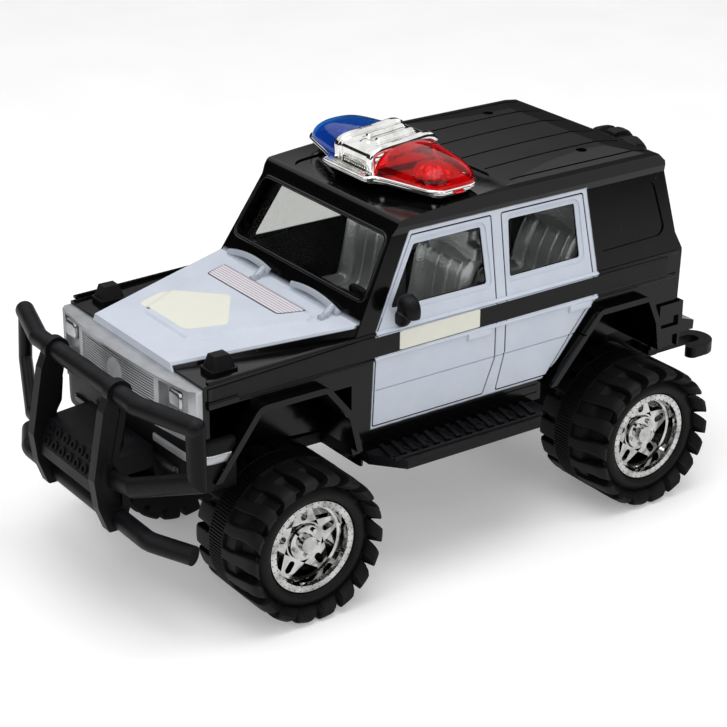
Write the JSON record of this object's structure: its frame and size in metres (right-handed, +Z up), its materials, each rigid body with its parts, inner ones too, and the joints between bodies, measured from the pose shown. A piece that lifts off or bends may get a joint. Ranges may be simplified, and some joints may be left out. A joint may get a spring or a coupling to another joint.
{
  "type": "toy police off-road car",
  "caption": "Toy police off-road car with big wheels, bull bar and roof light bar; rolls on two axles.",
  "frame": {"origin": "floor, under the middle of the car's bounding box", "axes": "+Z up, the car faces -Y, its left side is +X"},
  "size_m": [0.15, 0.3118, 0.171],
  "materials": {
    "gloss_shell": "gloss",
    "matte_black": "matt",
    "clear_plastic": "clear",
    "seat_plastic": "pearl",
    "silver_plastic": "satin metallic",
    "chrome": "mirror",
    "blue_lens": "clear blue",
    "red_lens": "clear red",
    "rubber": "matt",
    "steel": "drawn"
  },
  "bodies": {
    "root": {"body_shell": "gloss_shell", "rear_bumper": "gloss_shell", "bull_bar": "matte_black", "left_turn_lamp": "matte_black", "right_turn_lamp": "matte_black", "left_mirror": "matte_black", "left_running_board": "matte_black", "right_running_board": "matte_black", "tow_hooks": "matte_black", "chassis": "matte_black", "interior_tub": "matte_black", "dashboard": "matte_black", "steering_wheel": "matte_black", "friction_motor": "matte_black", "windscreen": "clear_plastic", "left_side_glass": "clear_plastic", "right_side_glass": "clear_plastic", "rear_window": "clear_plastic", "wipers": "clear_plastic", "front_left_seat": "seat_plastic", "front_right_seat": "seat_plastic", "rear_left_seat": "seat_plastic", "rear_right_seat": "seat_plastic", "grille_panel": "silver_plastic", "left_headlamp": "silver_plastic", "right_headlamp": "silver_plastic", "front_crossmember": "silver_plastic", "light_bar_base": "chrome", "light_bar_cover": "chrome", "blue_reflector": "chrome", "red_reflector": "chrome", "spare_rim": "chrome", "blue_lens": "blue_lens", "red_lens": "red_lens", "left_tail_lamp": "red_lens", "right_tail_lamp": "red_lens", "spare_tyre": "rubber"},
    "front_wheels": {"front_axle": "steel", "front_left_rim": "chrome", "front_right_rim": "chrome", "front_left_tyre": "rubber", "front_right_tyre": "rubber"},
    "rear_wheels": {"rear_axle": "steel", "rear_left_rim": "chrome", "rear_right_rim": "chrome", "rear_left_tyre": "rubber", "rear_right_tyre": "rubber"}
  },
  "joints": [
    {"name": "front_axle_spin", "type": "hinge", "parent": "root", "child": "front_wheels", "pos_m": [0, -0.0825, 0.032], "axis": [1, 0, 0], "continuous": true},
    {"name": "rear_axle_spin", "type": "hinge", "parent": "root", "child": "rear_wheels", "pos_m": [0, 0.0955, 0.032], "axis": [1, 0, 0], "continuous": true}
  ]
}
